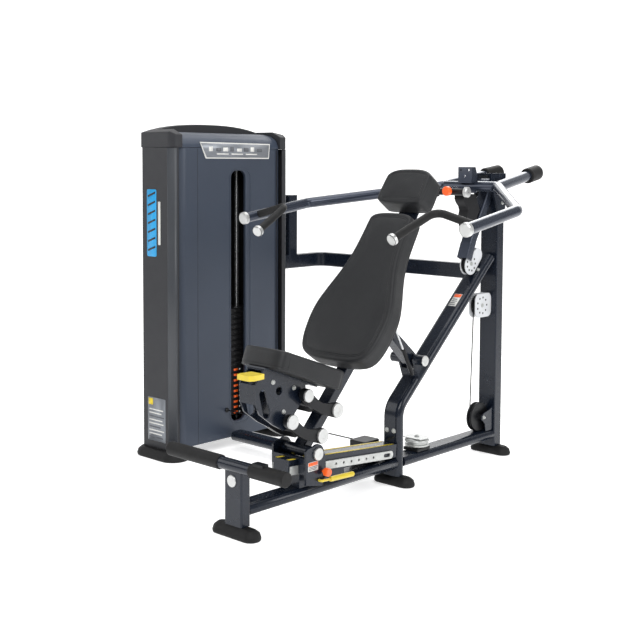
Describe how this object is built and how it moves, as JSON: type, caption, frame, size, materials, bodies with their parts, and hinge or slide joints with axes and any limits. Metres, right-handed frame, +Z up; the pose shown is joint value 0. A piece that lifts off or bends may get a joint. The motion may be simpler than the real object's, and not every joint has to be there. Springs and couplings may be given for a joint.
{
  "type": "chest press machine",
  "caption": "Selectorised multi press station: adjustable bench on a sloped track, overhead-pivoted twin-handle press arm, side weight stack tower with window, tubular base frame.",
  "frame": {"origin": "centre of the bounding box on the floor", "axes": "+Z up, -Y the way the user faces, -X the side of the weight tower"},
  "size_m": [1.9653, 2.0462, 1.676],
  "materials": {
    "frame_paint": "dark navy gloss powder coat",
    "arm_paint": "metallic slate gloss paint",
    "shroud_paint": "slate blue-grey satin paint",
    "charcoal_plastic": "fine textured charcoal",
    "black_plastic": "satin black",
    "black_rubber": "matte black",
    "pad_vinyl": "dark grey vinyl upholstery",
    "bright_steel": "bright",
    "brushed_aluminium": "brushed",
    "zinc_plate": "zinc plated",
    "stack_iron": "black painted",
    "white_cover": "white",
    "yellow_plastic": "yellow",
    "orange_plastic": "orange"
  },
  "bodies": {
    "frame": {"base_rail": "frame_paint", "front_post": "frame_paint", "rear_post": "frame_paint", "mid_post": "frame_paint", "front_foot": "black_rubber", "rear_foot": "black_rubber", "mid_foot": "black_rubber", "footrest_sleeve_right": "black_rubber", "footrest_sleeve_left": "black_rubber", "track_beam": "frame_paint", "track_rail_left": "zinc_plate", "track_rail_right": "zinc_plate", "cross_tube": "frame_paint", "upper_beam": "frame_paint", "post_pulley_guard": "white_cover", "cable_cover": "black_plastic", "tower_base": "frame_paint", "tower_foot_front": "black_rubber", "tower_foot_rear": "black_rubber", "end_panel_front": "charcoal_plastic", "end_panel_rear": "charcoal_plastic", "shroud_left": "shroud_paint", "shroud_right": "shroud_paint", "top_cap": "charcoal_plastic", "top_cover": "shroud_paint", "guide_rod_front": "bright_steel", "guide_rod_rear": "bright_steel", "stack_resting": "stack_iron", "pivot_pin": "brushed_aluminium"},
    "press_arm": {"arm_frame": "arm_paint", "start_housing": "black_plastic", "limit_plate": "black_plastic", "grip_left": "black_rubber", "grip_right": "black_rubber", "counterweight_left": "black_rubber", "counterweight_right": "black_rubber", "lever_pulley_guard": "white_cover"},
    "start_pin": {"start_pin": "orange_plastic"},
    "lever_pulley": {"lever_pulley": "black_plastic"},
    "post_pulley": {"post_pulley": "black_plastic"},
    "rear_pulley": {"rear_pulley": "black_plastic"},
    "flat_pulley": {"flat_pulley": "zinc_plate"},
    "tower_pulley": {"tower_pulley": "black_plastic"},
    "stack": {"stack_lifted": "stack_iron"},
    "selector_pin": {"selector_pin": "black_plastic"},
    "carriage": {"carriage": "frame_paint", "carriage_pin": "brushed_aluminium"},
    "carriage_lever": {"carriage_lever": "yellow_plastic"},
    "carriage_knob": {"carriage_knob": "orange_plastic"},
    "backrest": {"backrest_frame": "frame_paint", "back_pad": "pad_vinyl", "head_pad": "pad_vinyl"},
    "link_upper": {"link_upper": "black_plastic"},
    "link_lower": {"link_lower": "black_plastic"},
    "seat": {"seat_frame": "frame_paint", "seat_pad": "pad_vinyl"},
    "seat_lever": {"seat_lever": "yellow_plastic"},
    "support_link": {"support_link": "frame_paint"},
    "gas_cylinder": {"gas_cylinder": "black_plastic"},
    "gas_rod": {"gas_rod": "bright_steel"}
  },
  "joints": [
    {"name": "arm_pivot", "type": "hinge", "parent": "frame", "child": "press_arm", "pos_m": [0.3175, 0.7369, 1.37], "axis": [-1, 0, 0], "range_deg": [0, 40]},
    {"name": "start_pin_pull", "type": "slide", "parent": "press_arm", "child": "start_pin", "axis": [0, -1, 0], "range_m": [0, 0.012], "stiffness_N_per_m": 800},
    {"name": "lever_pulley_spin", "type": "hinge", "parent": "press_arm", "child": "lever_pulley", "pos_m": [0.3175, 0.5849, 0.985], "axis": [-1, 0, 0], "range_deg": [-20, 240]},
    {"name": "post_pulley_spin", "type": "hinge", "parent": "frame", "child": "post_pulley", "pos_m": [0.3175, 0.6789, 0.77], "axis": [-1, 0, 0], "range_deg": [-20, 240]},
    {"name": "rear_pulley_spin", "type": "hinge", "parent": "frame", "child": "rear_pulley", "pos_m": [0.3175, 0.6749, 0.205], "axis": [-1, 0, 0], "range_deg": [-20, 240]},
    {"name": "flat_pulley_spin", "type": "hinge", "parent": "frame", "child": "flat_pulley", "pos_m": [0.3175, 0.1819, 0.1645], "axis": [0, 0, 1], "range_deg": [-20, 240]},
    {"name": "tower_pulley_spin", "type": "hinge", "parent": "frame", "child": "tower_pulley", "pos_m": [-0.8375, 0.0254, 1.47], "axis": [-1, 0, 0], "range_deg": [-20, 520]},
    {"name": "stack_lift", "type": "slide", "parent": "frame", "child": "stack", "axis": [0, 0, 1], "range_m": [0, 0.42]},
    {"name": "selector_pin_pull", "type": "slide", "parent": "stack", "child": "selector_pin", "axis": [1, 0, 0], "range_m": [0, 0.078]},
    {"name": "carriage_slide", "type": "slide", "parent": "frame", "child": "carriage", "axis": [0, -0.9962, 0.0872], "range_m": [-0.19, 0.02]},
    {"name": "carriage_lever_turn", "type": "hinge", "parent": "carriage", "child": "carriage_lever", "pos_m": [0.4179, -0.6081, 0.166], "axis": [1, 0, 0], "range_deg": [-12, 0], "stiffness_Nm_per_rad": 6},
    {"name": "carriage_knob_pull", "type": "slide", "parent": "carriage", "child": "carriage_knob", "axis": [1, 0, 0], "range_m": [0, 0.012], "stiffness_N_per_m": 800},
    {"name": "backrest_tilt", "type": "hinge", "parent": "carriage", "child": "backrest", "pos_m": [0.3175, -0.6151, 0.278], "axis": [1, 0, 0], "range_deg": [-2, 12.2]},
    {"name": "link_upper_swing", "type": "hinge", "parent": "backrest", "child": "link_upper", "pos_m": [0.3175, -0.4831, 0.438], "axis": [1, 0, 0], "range_deg": [-4, 14]},
    {"name": "link_lower_swing", "type": "hinge", "parent": "backrest", "child": "link_lower", "pos_m": [0.3175, -0.5751, 0.344], "axis": [1, 0, 0], "range_deg": [-4, 14]},
    {"name": "seat_level", "type": "hinge", "parent": "link_upper", "child": "seat", "pos_m": [0.3175, -0.6611, 0.527], "axis": [1, 0, 0], "range_deg": [-14, 4]},
    {"name": "seat_lever_lift", "type": "hinge", "parent": "seat", "child": "seat_lever", "pos_m": [0.3659, -0.8981, 0.64], "axis": [-1, 0, 0], "range_deg": [-12, 0], "stiffness_Nm_per_rad": 6},
    {"name": "support_link_swing", "type": "hinge", "parent": "frame", "child": "support_link", "pos_m": [0.3175, 0.1169, 0.57], "axis": [1, 0, 0], "range_deg": [-19.8, 2.2]},
    {"name": "gas_cylinder_swing", "type": "hinge", "parent": "frame", "child": "gas_cylinder", "pos_m": [0.364, 0.1019, 0.475], "axis": [1, 0, 0], "range_deg": [-16.5, 1.9]},
    {"name": "gas_rod_slide", "type": "slide", "parent": "gas_cylinder", "child": "gas_rod", "axis": [0, -0.4947, 0.8691], "range_m": [-0.006, 0.046]}
  ],
  "couplings": [
    {"joint": "stack_lift", "follows": "arm_pivot", "m_per_rad": 0.6},
    {"joint": "lever_pulley_spin", "follows": "arm_pivot", "ratio": 5},
    {"joint": "post_pulley_spin", "follows": "arm_pivot", "ratio": 5.5},
    {"joint": "rear_pulley_spin", "follows": "arm_pivot", "ratio": 4},
    {"joint": "flat_pulley_spin", "follows": "arm_pivot", "ratio": 5},
    {"joint": "tower_pulley_spin", "follows": "arm_pivot", "ratio": 12},
    {"joint": "backrest_tilt", "follows": "carriage_slide", "rad_per_m": -1.0443},
    {"joint": "support_link_swing", "follows": "carriage_slide", "rad_per_m": 1.6991},
    {"joint": "gas_cylinder_swing", "follows": "carriage_slide", "rad_per_m": 1.3964},
    {"joint": "gas_rod_slide", "follows": "carriage_slide", "ratio": -0.22485},
    {"joint": "link_lower_swing", "follows": "link_upper_swing", "ratio": 1},
    {"joint": "seat_level", "follows": "link_upper_swing", "ratio": -1}
  ]
}
